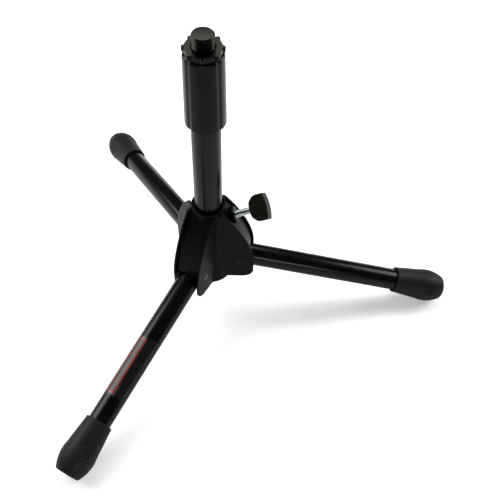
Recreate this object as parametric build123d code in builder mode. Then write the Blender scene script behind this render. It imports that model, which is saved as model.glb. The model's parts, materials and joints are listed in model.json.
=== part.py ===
"""Short tripod microphone stand with a two-stage post, a twist clutch and a wing-bolt clamp.

Millimetres and degrees. +Z is up and the origin is on the floor, on the axis of the post.
Leg 1 points along +X and carries the clamp screw above it. Legs 2 and 3 follow every 120 degrees.
"""
from build123d import *
import os
from math import asin, cos, hypot, radians, sin, tan

os.makedirs("parts", exist_ok=True)

# ---------------------------------------------------------------- driving dimensions
leg_count = 3

# Legs: steel tube, from the pivot outwards
leg_slope = 15.0  # below the horizontal, in the open position
leg_tube_radius = 9.525
leg_tube_wall = 1.2
tube_behind_pivot = 5.5  # how far the tube goes on past its pivot
leg_plug_depth = 2.2
leg_plug_wall = 1.0
pin_radius = 3.0

# Rubber foot cap, along the leg from the cap's mouth
pivot_to_cap = 145.5
cap_length = 46.0
cap_flare_at = 28.0
cap_mouth_radius = 11.3
cap_flare_radius = 14.2
cap_end_radius = 10.0
cap_crown_radius = 30.0  # of the arc from the flare to the end face
cap_bore_depth = 37.0
cap_lip_depth = 1.6
cap_lip_gap = 0.8

# Film wrapped around leg 3
film_start = 70.0  # from the pivot
film_length = 54.0
film_thickness = 0.12
film_wrap_angle = 170.0
film_turn = 20.0  # from the top of the leg towards leg 2

# Moulded hub
hub_above_pivot = 63.5
hub_below_pivot = 19.0
hub_wall = 2.4
collar_radius = 14.0
collar_height = 12.0
collar_mouth_radius = 12.7
collar_mouth_depth = 4.0
core_foot_radius = 20.0
sleeve_wall = 2.6
housing_reach = 38.0  # outer edge of the cheeks, from the axis of the post
housing_corner = 9.0
pivot_inset = 12.5  # from the outer edge of the cheeks
shoulder_inset = 7.0
shoulder_height = 31.0  # above the pivot
cheek_wall = 2.2
roof_drop = 2.4  # roof surface below the edge of the cheeks
roof_wall = 2.6
spacer_wall = 0.5
spacer_radius = 6.5

# Post: outer tube
post_tube_radius = 11.1
post_tube_wall = 1.2
post_tube_inset = 4.6  # above the bottom of the hub
post_tube_above_hub = 116.1
post_plug_flange = 2.5
post_plug_depth = 10.0
post_plug_wall = 2.0

# Inner tube, guide and threaded stud
inner_tube_radius = 8.0
inner_tube_wall = 1.0
inner_tube_length = 179.0
inner_tube_inset = 3.0  # below the top of the grip
guide_flange = 8.0
guide_spigot = 12.0
stud_radius = 7.9375
stud_neck_radius = 7.4
stud_exposed = 9.6  # above the lock ring
stud_shank = 16.0
stud_chamfer = 0.8

# Twist clutch
grip_length = 60.0
grip_overlap = 26.0  # below the top of the post tube
grip_bottom_radius = 15.25
grip_top_radius = 14.5
grip_shoulder = 2.0
grip_wall = 1.9
grip_top_wall = 4.0
flute_count = 8
flute_radius = 7.0
flute_depth = 0.45
ferrule_length = 34.0
ferrule_overlap = 18.0  # below the top of the post tube
ferrule_ledge = 3.0
collet_wall = 2.2
collet_cone_height = 9.0
collet_head_radius = 12.2
collet_slit = 1.6
clutch_washer_thickness = 1.0
clutch_travel = 0.8

# Lock ring on the stud
ring_washer_thickness = 0.6
ring_washer_radius = 12.6
ring_thickness = 3.5
ring_radius = 12.9
lobe_count = 8
lobe_radius = 1.8
lobe_centre_radius = 12.9

# Clamp screw above leg 1
screw_rise = 24.0  # above the horizontal
screw_below_collar = 22.9  # where the screw's axis meets the axis of the post
screw_radius = 3.0
screw_point_radius = 2.0
screw_point_length = 1.2
nut_across_flats = 10.0
nut_thickness = 4.0
nut_cover = 1.1
boss_end = 24.4  # along the screw from the axis of the post
boss_radius = 7.0
shoe_radius = 4.0
shoe_travel = 2.0
screw_exposed = 13.6
knob_length = 15.0
knob_neck_length = 5.0
knob_neck_width = 12.0
knob_width = 22.0
knob_thickness = 12.0
knob_crown = 1.5
knob_round = 1.2
knob_turn = 50.0
screw_in_knob = 10.0

# Clearances
running_clearance = 0.08
free_clearance = 0.3
swing_clearance = 0.5
stop_clearance = 0.05
flat_clearance = 0.1
clamp_clearance = 0.3

# ---------------------------------------------------------------- derived sizes
leg_angles = [index * 360 / leg_count for index in range(leg_count)]
slope = radians(leg_slope)

pivot_radius = housing_reach - pivot_inset

# Centre of the arc that rounds the foot cap, from the chord between the flare and the end face
crown_run = cap_length - cap_flare_at
crown_fall = cap_flare_radius - cap_end_radius
crown_chord = hypot(crown_run, crown_fall)
crown_depth = cap_crown_radius * cos(asin(crown_chord / 2 / cap_crown_radius))
crown_along = pivot_to_cap + cap_flare_at + crown_run / 2 - crown_depth * crown_fall / crown_chord
crown_offset = (cap_flare_radius + cap_end_radius) / 2 - crown_depth * crown_run / crown_chord

# The foot caps touch the floor, which sets the height of the pivots
pivot_height = crown_along * sin(slope) + crown_offset * cos(slope) + cap_crown_radius
hub_top = pivot_height + hub_above_pivot
hub_bottom = pivot_height - hub_below_pivot

hub_bore_radius = post_tube_radius + running_clearance
sleeve_radius = hub_bore_radius + sleeve_wall
channel_half = leg_tube_radius + spacer_wall + 2 * flat_clearance
housing_half = channel_half + cheek_wall
swing_radius = hypot(leg_tube_radius, tube_behind_pivot) + swing_clearance
fold_slot_start = pivot_radius - leg_tube_radius - swing_clearance
leg_tube_length = tube_behind_pivot + pivot_to_cap + cap_bore_depth

post_tube_bottom = hub_bottom + post_tube_inset
post_tube_top = hub_top + post_tube_above_hub
grip_bottom = post_tube_top - grip_overlap
grip_top = grip_bottom + grip_length
ferrule_bottom = post_tube_top - ferrule_overlap
ferrule_top = ferrule_bottom + ferrule_length
inner_tube_top = grip_top - inner_tube_inset
inner_tube_bottom = inner_tube_top - inner_tube_length

post_inner_radius = post_tube_radius - post_tube_wall
inner_bore_radius = inner_tube_radius - inner_tube_wall
tube_hole_radius = inner_tube_radius + running_clearance
grip_bore_radius = grip_bottom_radius - grip_wall
ferrule_radius = grip_bore_radius - free_clearance
collet_radius = tube_hole_radius + collet_wall
ferrule_bore_radius = collet_radius + running_clearance
grip_ceiling = grip_top - grip_top_wall
clutch_washer_bottom = grip_ceiling - flat_clearance - clutch_washer_thickness
collet_bottom = post_tube_top + ferrule_ledge
collet_top = clutch_washer_bottom - clutch_travel - flat_clearance
stud_hole_radius = stud_radius + free_clearance
ring_washer_bottom = grip_top + flat_clearance
ring_bottom = ring_washer_bottom + ring_washer_thickness + flat_clearance
stud_neck_top = ring_bottom + ring_thickness + flat_clearance
stud_top = stud_neck_top + stud_exposed

screw_axis_height = hub_top - screw_below_collar
nut_start = boss_end - nut_cover - nut_thickness
shoe_end = nut_start - shoe_travel - clamp_clearance
knob_start = boss_end + screw_exposed


def direction(angle, elevation=0.0):
    """Unit vector at an angle around the post and an elevation above the floor."""
    flat = cos(radians(elevation))
    return Vector(flat * cos(radians(angle)), flat * sin(radians(angle)), sin(radians(elevation)))


def housing_plane(angle):
    """Upright plane through the post: local X is the radius and local Y is the height."""
    return Plane(origin=(0, 0, 0), x_dir=direction(angle), z_dir=direction(angle - 90))


def leg_origin(angle):
    """Centre of a leg's pivot."""
    return direction(angle) * pivot_radius + Vector(0, 0, pivot_height)


def leg_profile_plane(angle):
    """Upright plane along a leg: local X runs out along the leg from its pivot."""
    return Plane(origin=leg_origin(angle), x_dir=direction(angle, -leg_slope), z_dir=direction(angle - 90))


def leg_section_plane(angle, along):
    """Plane square to a leg, at a distance along it from the pivot. Local Y is the leg's upper side."""
    outwards = direction(angle, -leg_slope)
    return Plane(origin=leg_origin(angle) + outwards * along, x_dir=direction(angle + 90), z_dir=outwards)


def pivot_plane(angle):
    """Plane across a leg's pivot pin."""
    return Plane(origin=leg_origin(angle), x_dir=direction(angle), z_dir=direction(angle - 90))


def screw_plane(along):
    """Plane square to the clamp screw, at a distance along it. Local X points along +Y."""
    outwards = direction(0, screw_rise)
    origin = Vector(0, 0, screw_axis_height) + outwards * along
    return Plane(origin=origin, x_dir=(0, 1, 0), z_dir=outwards)


def write_piece(piece, label):
    """Label a finished piece and write it as a STEP file of the same name."""
    piece.label = label
    export_step(piece, f"parts/{label}.step")


# ---------------------------------------------------------------- moulded hub
with BuildSketch() as housing_side:
    with BuildLine():
        crest = Spline(
            (sleeve_radius - 1, hub_top - 3),
            (housing_reach - shoulder_inset, pivot_height + shoulder_height),
            (housing_reach, pivot_height + 2),
            tangents=((1, -1.15), (0, -1)),
        )
        outer_edge = Line(crest @ 1, (housing_reach, hub_bottom + housing_corner))
        corner = RadiusArc(outer_edge @ 1, (housing_reach - housing_corner, hub_bottom), housing_corner)
        foot = Line(corner @ 1, (0, hub_bottom))
        back = Line(foot @ 1, (0, hub_top - 3))
        Line(back @ 1, crest @ 0)
    make_face()

with BuildSketch() as roof_side:
    with Locations((-roof_drop, 0)):
        add(housing_side.sketch)
    with Locations((-roof_drop - roof_wall, 0)):
        add(housing_side.sketch, mode=Mode.SUBTRACT)
    stop_height = pivot_height + (leg_tube_radius + stop_clearance) / cos(slope)
    below_stop = 2 * hub_above_pivot
    with BuildLine():
        Polyline(
            (0, stop_height + pivot_radius * tan(slope)),
            (2 * pivot_radius, stop_height - pivot_radius * tan(slope)),
            (2 * pivot_radius, stop_height - below_stop),
            (-2 * pivot_radius, stop_height - below_stop),
            (-2 * pivot_radius, stop_height + pivot_radius * tan(slope)),
            close=True,
        )
    make_face(mode=Mode.SUBTRACT)

with BuildPart() as hub_body:
    for angle in leg_angles:
        with BuildSketch(housing_plane(angle)):
            add(housing_side.sketch)
        extrude(amount=housing_half, both=True)
    for angle in leg_angles:
        with BuildSketch(housing_plane(angle)):
            with Locations((0, hub_bottom)):
                Rectangle(2 * housing_reach, 2 * hub_above_pivot, align=(Align.MIN, Align.CENTER))
        extrude(amount=channel_half, both=True, mode=Mode.SUBTRACT)
    for angle in leg_angles:
        with BuildSketch(housing_plane(angle)):
            add(roof_side.sketch)
        extrude(amount=channel_half, both=True)
    # Core around the post: a cone with a straight collar
    with BuildSketch(Plane.XZ):
        with BuildLine():
            Polyline(
                (0, hub_bottom),
                (core_foot_radius, hub_bottom),
                (collar_radius, hub_top - collar_height),
                (collar_radius, hub_top),
                (0, hub_top),
                close=True,
            )
        make_face()
    revolve(axis=Axis.Z)
    # Boss for the clamp screw
    with BuildSketch(screw_plane(sleeve_radius)):
        Circle(boss_radius)
    extrude(amount=boss_end - sleeve_radius)
    # Room for each leg to swing from open to folded
    for angle in leg_angles:
        with BuildSketch(housing_plane(angle)):
            with Locations((pivot_radius, pivot_height)):
                Circle(swing_radius)
            with Locations((fold_slot_start, pivot_height)):
                Rectangle(housing_reach, hub_above_pivot, align=(Align.MIN, Align.MAX))
        extrude(amount=channel_half, both=True, mode=Mode.SUBTRACT)
    # Cored-out underside
    with BuildSketch(Plane.XZ):
        with BuildLine():
            core_slope = (core_foot_radius - collar_radius) / (hub_top - collar_height - hub_bottom)
            groove_width = core_foot_radius - hub_wall - sleeve_radius
            Polyline(
                (sleeve_radius, hub_bottom),
                (sleeve_radius + groove_width, hub_bottom),
                (sleeve_radius, hub_bottom + groove_width / core_slope),
                close=True,
            )
        make_face()
    revolve(axis=Axis.Z, mode=Mode.SUBTRACT)
    # Bore for the post and its wider mouth
    with BuildSketch(Plane.XY.offset(hub_bottom)):
        Circle(hub_bore_radius)
    extrude(amount=hub_top - hub_bottom, mode=Mode.SUBTRACT)
    with BuildSketch(Plane.XY.offset(hub_top)):
        Circle(collar_mouth_radius)
    extrude(amount=-collar_mouth_depth, mode=Mode.SUBTRACT)
    # Bores for the clamp shoe, the nut and the screw
    with BuildSketch(screw_plane(0)):
        Circle(shoe_radius + running_clearance)
    extrude(amount=nut_start, mode=Mode.SUBTRACT)
    with BuildSketch(screw_plane(nut_start)):
        RegularPolygon(nut_across_flats / 2, 6, major_radius=False)
    extrude(amount=nut_thickness, mode=Mode.SUBTRACT)
    with BuildSketch(screw_plane(nut_start)):
        Circle(screw_radius + free_clearance)
    extrude(amount=boss_end - nut_start + boss_radius, mode=Mode.SUBTRACT)
    # Pin holes through the cheeks
    for angle in leg_angles:
        with BuildSketch(pivot_plane(angle)):
            Circle(pin_radius)
        extrude(amount=housing_half, both=True, mode=Mode.SUBTRACT)
write_piece(hub_body.part, "hub_body")

# ---------------------------------------------------------------- legs
for number, angle in enumerate(leg_angles, start=1):
    leg_axis = Axis(leg_origin(angle), direction(angle, -leg_slope))

    with BuildPart() as leg_pivot_pin:
        with BuildSketch(pivot_plane(angle)):
            Circle(pin_radius)
        extrude(amount=housing_half - flat_clearance, both=True)
    write_piece(leg_pivot_pin.part, f"leg_pivot_pin_{number}")

    with BuildPart() as leg_spacers:
        for side in (-1, 1):
            start = side * (leg_tube_radius + flat_clearance)
            with BuildSketch(pivot_plane(angle).offset(start)):
                Circle(spacer_radius)
                Circle(pin_radius, mode=Mode.SUBTRACT)
            extrude(amount=side * spacer_wall)
    write_piece(leg_spacers.part, f"leg_spacers_{number}")

    with BuildPart() as leg_tube:
        with BuildSketch(leg_section_plane(angle, -tube_behind_pivot)):
            Circle(leg_tube_radius)
            Circle(leg_tube_radius - leg_tube_wall, mode=Mode.SUBTRACT)
        extrude(amount=leg_tube_length)
        with BuildSketch(pivot_plane(angle)):
            Circle(pin_radius + running_clearance)
        extrude(amount=2 * leg_tube_radius, both=True, mode=Mode.SUBTRACT)
    write_piece(leg_tube.part, f"leg_tube_{number}")

    with BuildPart() as leg_end_plug:
        with BuildSketch(leg_section_plane(angle, -tube_behind_pivot)):
            Circle(leg_tube_radius - leg_tube_wall)
        extrude(amount=leg_plug_depth)
        with BuildSketch(leg_section_plane(angle, -tube_behind_pivot + leg_plug_wall)):
            Circle(leg_tube_radius - leg_tube_wall - leg_plug_wall)
        extrude(amount=leg_plug_depth, mode=Mode.SUBTRACT)
    write_piece(leg_end_plug.part, f"leg_end_plug_{number}")

    with BuildPart() as foot_cap:
        with BuildSketch(leg_profile_plane(angle)):
            with BuildLine():
                mouth = Line((pivot_to_cap, 0), (pivot_to_cap, cap_mouth_radius))
                skirt = Line(mouth @ 1, (pivot_to_cap + cap_flare_at, cap_flare_radius))
                crown_end = (pivot_to_cap + cap_length, cap_end_radius)
                crown = RadiusArc(skirt @ 1, crown_end, cap_crown_radius)
                face = Line(crown @ 1, (pivot_to_cap + cap_length, 0))
                Line(face @ 1, mouth @ 0)
            make_face()
        revolve(axis=leg_axis)
        with BuildSketch(leg_section_plane(angle, pivot_to_cap)):
            Circle(leg_tube_radius)
        extrude(amount=cap_bore_depth, mode=Mode.SUBTRACT)
        with BuildSketch(leg_section_plane(angle, pivot_to_cap)):
            Circle(leg_tube_radius + cap_lip_gap)
        extrude(amount=cap_lip_depth, mode=Mode.SUBTRACT)
    write_piece(foot_cap.part, f"foot_cap_{number}")

# Film around the last leg, between two radial cuts
film_angle = leg_angles[-1]
with BuildPart() as leg_film:
    with BuildSketch(leg_section_plane(film_angle, film_start)):
        with BuildLine():
            first = 90 + film_turn - film_wrap_angle / 2
            inner_arc = CenterArc((0, 0), leg_tube_radius, first, film_wrap_angle)
            outer_arc = CenterArc((0, 0), leg_tube_radius + film_thickness, first, film_wrap_angle)
            Line(inner_arc @ 0, outer_arc @ 0)
            Line(inner_arc @ 1, outer_arc @ 1)
        make_face()
    extrude(amount=film_length)
write_piece(leg_film.part, "leg_film")

# ---------------------------------------------------------------- post
with BuildPart() as post_tube:
    with BuildSketch(Plane.XY.offset(post_tube_bottom)):
        Circle(post_tube_radius)
        Circle(post_inner_radius, mode=Mode.SUBTRACT)
    extrude(amount=post_tube_top - post_tube_bottom)
write_piece(post_tube.part, "post_tube")

with BuildPart() as post_end_plug:
    with BuildSketch(Plane.XY.offset(post_tube_bottom)):
        Circle(post_tube_radius)
    extrude(amount=-post_plug_flange)
    with BuildSketch(Plane.XY.offset(post_tube_bottom)):
        Circle(post_inner_radius)
        Circle(post_inner_radius - post_plug_wall, mode=Mode.SUBTRACT)
    extrude(amount=post_plug_depth)
    chamfer(post_end_plug.faces().sort_by(Axis.Z)[0].edges(), length=0.8)
write_piece(post_end_plug.part, "post_end_plug")

# ---------------------------------------------------------------- twist clutch
with BuildPart() as clutch_ferrule:
    with BuildSketch(Plane.XY.offset(ferrule_bottom)):
        Circle(ferrule_radius)
    extrude(amount=ferrule_top - ferrule_bottom)
    with BuildSketch(Plane.XY.offset(ferrule_bottom)):
        Circle(post_tube_radius)
    extrude(amount=post_tube_top - ferrule_bottom, mode=Mode.SUBTRACT)
    with BuildSketch(Plane.XY.offset(post_tube_top)):
        Circle(inner_tube_radius + free_clearance)
    extrude(amount=ferrule_ledge, mode=Mode.SUBTRACT)
    with BuildSketch(Plane.XY.offset(collet_bottom)):
        Circle(ferrule_bore_radius)
    extrude(amount=ferrule_top - collet_bottom, mode=Mode.SUBTRACT)
write_piece(clutch_ferrule.part, "clutch_ferrule")

with BuildPart() as clutch_collet:
    with BuildSketch(Plane.XZ):
        with BuildLine():
            Polyline(
                (tube_hole_radius, collet_bottom),
                (collet_radius, collet_bottom),
                (collet_radius, ferrule_top),
                (collet_head_radius, ferrule_top + flat_clearance),
                (collet_head_radius, collet_top - collet_cone_height),
                (collet_radius, collet_top),
                (tube_hole_radius, collet_top),
                close=True,
            )
        make_face()
    revolve(axis=Axis.Z)
    with BuildSketch(Plane.XY.offset(collet_bottom)):
        Rectangle(2 * collet_head_radius, collet_slit, align=(Align.MIN, Align.CENTER))
    extrude(amount=collet_top - collet_bottom, mode=Mode.SUBTRACT)
write_piece(clutch_collet.part, "clutch_collet")

with BuildPart() as clutch_washer:
    with BuildSketch(Plane.XY.offset(clutch_washer_bottom)):
        Circle(collet_radius)
        Circle(stud_hole_radius, mode=Mode.SUBTRACT)
    extrude(amount=clutch_washer_thickness)
write_piece(clutch_washer.part, "clutch_washer")

with BuildPart() as clutch_grip:
    cone_start = collet_top - collet_cone_height
    grip_cone_gap = clutch_travel + free_clearance
    with BuildSketch(Plane.XZ):
        with BuildLine():
            side = Line((grip_bottom_radius, grip_bottom), (grip_top_radius, grip_top - grip_shoulder))
            shoulder_end = (grip_top_radius - grip_shoulder, grip_top)
            shoulder = RadiusArc(side @ 1, shoulder_end, -grip_shoulder)
            Polyline(
                shoulder @ 1,
                (stud_hole_radius, grip_top),
                (stud_hole_radius, grip_ceiling),
                (collet_radius + grip_cone_gap / 2, grip_ceiling),
                (collet_radius + grip_cone_gap / 2, collet_top),
                (grip_bore_radius, cone_start),
                (grip_bore_radius, grip_bottom),
                side @ 0,
            )
        make_face()
    revolve(axis=Axis.Z)
    with BuildSketch(Plane.XY.offset(grip_bottom)):
        with PolarLocations(grip_bottom_radius + flute_radius - flute_depth, flute_count):
            Circle(flute_radius)
    extrude(amount=grip_top - grip_bottom, mode=Mode.SUBTRACT)
write_piece(clutch_grip.part, "clutch_grip")

# ---------------------------------------------------------------- inner tube and stud
with BuildPart() as tube_guide:
    with BuildSketch(Plane.XY.offset(inner_tube_bottom - flat_clearance)):
        Circle(post_inner_radius - running_clearance)
    extrude(amount=-guide_flange)
    with BuildSketch(Plane.XY.offset(inner_tube_bottom - flat_clearance)):
        Circle(inner_bore_radius - running_clearance)
    extrude(amount=guide_spigot)
write_piece(tube_guide.part, "tube_guide")

with BuildPart() as inner_tube:
    with BuildSketch(Plane.XY.offset(inner_tube_bottom)):
        Circle(inner_tube_radius)
        Circle(inner_bore_radius, mode=Mode.SUBTRACT)
    extrude(amount=inner_tube_top - inner_tube_bottom)
write_piece(inner_tube.part, "inner_tube")

with BuildPart() as thread_stud:
    with BuildSketch(Plane.XY.offset(stud_neck_top)):
        Circle(stud_radius)
    extrude(amount=stud_top - stud_neck_top)
    chamfer(thread_stud.faces().sort_by(Axis.Z)[-1].edges(), length=stud_chamfer)
    with BuildSketch(Plane.XY.offset(inner_tube_top)):
        Circle(stud_neck_radius)
    extrude(amount=stud_neck_top - inner_tube_top)
    with BuildSketch(Plane.XY.offset(inner_tube_top)):
        Circle(inner_bore_radius)
    extrude(amount=-stud_shank)
write_piece(thread_stud.part, "thread_stud")

with BuildPart() as lock_ring_washer:
    with BuildSketch(Plane.XY.offset(ring_washer_bottom)):
        Circle(ring_washer_radius)
        Circle(stud_hole_radius, mode=Mode.SUBTRACT)
    extrude(amount=ring_washer_thickness)
write_piece(lock_ring_washer.part, "lock_ring_washer")

with BuildPart() as lock_ring:
    with BuildSketch(Plane.XY.offset(ring_bottom)):
        Circle(ring_radius)
        with PolarLocations(lobe_centre_radius, lobe_count):
            Circle(lobe_radius)
        Circle(stud_hole_radius, mode=Mode.SUBTRACT)
    extrude(amount=ring_thickness)
write_piece(lock_ring.part, "lock_ring")

# ---------------------------------------------------------------- clamp screw
with BuildPart() as clamp_nut:
    with BuildSketch(screw_plane(nut_start)):
        RegularPolygon(nut_across_flats / 2, 6, major_radius=False)
        Circle(screw_radius + running_clearance, mode=Mode.SUBTRACT)
    extrude(amount=nut_thickness)
write_piece(clamp_nut.part, "clamp_nut")

socket_depth = screw_point_length + flat_clearance
with BuildPart() as clamp_shoe:
    with BuildSketch(screw_plane(0)):
        Circle(shoe_radius)
    extrude(amount=shoe_end)
    with BuildSketch(screw_plane(shoe_end)):
        Circle(screw_point_radius + running_clearance)
    extrude(amount=-socket_depth, mode=Mode.SUBTRACT)
    with BuildSketch(Plane.XY.offset(hub_bottom)):
        Circle(post_tube_radius + clamp_clearance)
    extrude(amount=hub_top - hub_bottom, mode=Mode.SUBTRACT)
write_piece(clamp_shoe.part, "clamp_shoe")

screw_start = shoe_end + flat_clearance
screw_end = knob_start + screw_in_knob
with BuildPart() as wing_bolt:
    with BuildSketch(screw_plane(screw_start)):
        Circle(screw_radius)
    extrude(amount=screw_end - screw_start)
    with BuildSketch(screw_plane(screw_start)):
        Circle(screw_point_radius)
    extrude(amount=-screw_point_length)
write_piece(wing_bolt.part, "wing_bolt")

# The knob is drawn on the plane of its wings, which is turned about the screw
upright = direction(0, screw_rise + 90)
across = upright * cos(radians(knob_turn)) + Vector(0, 1, 0) * sin(radians(knob_turn))
outwards = direction(0, screw_rise)
knob_plane = Plane(
    origin=screw_plane(knob_start).origin,
    x_dir=outwards,
    z_dir=outwards.cross(across),
)
with BuildPart() as wing_knob:
    with BuildSketch(knob_plane):
        half_neck = knob_neck_width / 2
        half_width = knob_width / 2
        with BuildLine():
            Polyline(
                (knob_length - knob_crown, half_width),
                (knob_neck_length, half_width),
                (0, half_neck),
                (0, -half_neck),
                (knob_neck_length, -half_width),
                (knob_length - knob_crown, -half_width),
            )
            ThreePointArc(
                (knob_length - knob_crown, -half_width),
                (knob_length, 0),
                (knob_length - knob_crown, half_width),
            )
        make_face()
    extrude(amount=knob_thickness / 2, both=True)
    knob_normal = Axis(knob_plane.origin, knob_plane.z_dir)
    fillet(wing_knob.edges().filter_by(knob_normal), radius=knob_round)
    with BuildSketch(screw_plane(knob_start)):
        Circle(screw_radius)
    extrude(amount=screw_in_knob, mode=Mode.SUBTRACT)
write_piece(wing_knob.part, "wing_knob")
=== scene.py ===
"""Looks of the short tripod microphone stand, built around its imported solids.

Pieces are modelled in millimetres on a bench frame of their own, then set in place in metres.
+Z is up, the post stands on the Z axis and leg 1 points along +X.
"""
from __future__ import annotations

import json
import logging
import math
from collections.abc import Callable, Iterator, Sequence
from contextlib import contextmanager
from dataclasses import dataclass, field
from enum import Enum

import bmesh
import bpy
from mathutils import Matrix, Quaternion, Vector

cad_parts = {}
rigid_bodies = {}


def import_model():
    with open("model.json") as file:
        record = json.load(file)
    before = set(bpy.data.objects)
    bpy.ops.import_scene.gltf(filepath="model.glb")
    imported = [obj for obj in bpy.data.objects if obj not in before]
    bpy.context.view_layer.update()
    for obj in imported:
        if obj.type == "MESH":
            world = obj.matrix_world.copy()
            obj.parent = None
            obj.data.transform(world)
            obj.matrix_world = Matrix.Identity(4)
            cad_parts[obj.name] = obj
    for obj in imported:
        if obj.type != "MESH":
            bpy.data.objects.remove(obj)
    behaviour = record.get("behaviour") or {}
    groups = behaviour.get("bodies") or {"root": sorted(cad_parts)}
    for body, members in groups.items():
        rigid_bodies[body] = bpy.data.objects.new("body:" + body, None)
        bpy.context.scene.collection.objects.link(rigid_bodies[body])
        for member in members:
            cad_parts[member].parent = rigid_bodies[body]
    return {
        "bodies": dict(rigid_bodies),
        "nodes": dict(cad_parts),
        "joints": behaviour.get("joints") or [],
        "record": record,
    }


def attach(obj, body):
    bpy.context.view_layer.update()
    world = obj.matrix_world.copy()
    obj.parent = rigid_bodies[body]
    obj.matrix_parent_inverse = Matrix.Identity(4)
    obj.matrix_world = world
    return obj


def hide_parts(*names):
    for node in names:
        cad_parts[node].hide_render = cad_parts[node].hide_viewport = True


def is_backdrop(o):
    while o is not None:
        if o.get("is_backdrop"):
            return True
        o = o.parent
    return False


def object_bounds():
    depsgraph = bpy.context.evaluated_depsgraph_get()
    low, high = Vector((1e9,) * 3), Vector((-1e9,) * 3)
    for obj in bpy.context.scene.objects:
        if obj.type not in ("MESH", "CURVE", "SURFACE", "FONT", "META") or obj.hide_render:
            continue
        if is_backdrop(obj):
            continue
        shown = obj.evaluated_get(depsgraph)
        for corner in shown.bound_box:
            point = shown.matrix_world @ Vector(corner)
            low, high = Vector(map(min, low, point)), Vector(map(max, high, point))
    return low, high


log = logging.getLogger("microphone_stand")

MM = 0.001
FULL_TURN = 2 * math.pi
MERGE = 1e-4
Point = tuple[float, float]
Number = "Value | float"
Colour = tuple[float, float, float]


# ---------------------------------------------------------------- choices
class Element(Enum):
    """What is picked on a mesh."""

    VERTEX = "VERT"
    EDGE = "EDGE"
    FACE = "FACE"


class Cut(Enum):
    """How one solid works on another."""

    ADD = "UNION"
    REMOVE = "DIFFERENCE"
    KEEP_COMMON = "INTERSECT"


class Slot(Enum):
    """Finishes that the stand's record names."""

    ENAMEL = "tube_enamel"
    RUBBER = "foot_rubber"
    HUB = "hub_plastic"
    CLUTCH = "clutch_plastic"
    KNOB = "knob_plastic"
    ZINC = "zinc_steel"
    BLACK_STEEL = "black_steel"
    FILM = "leg_film"
    NYLON = "nylon"


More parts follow.
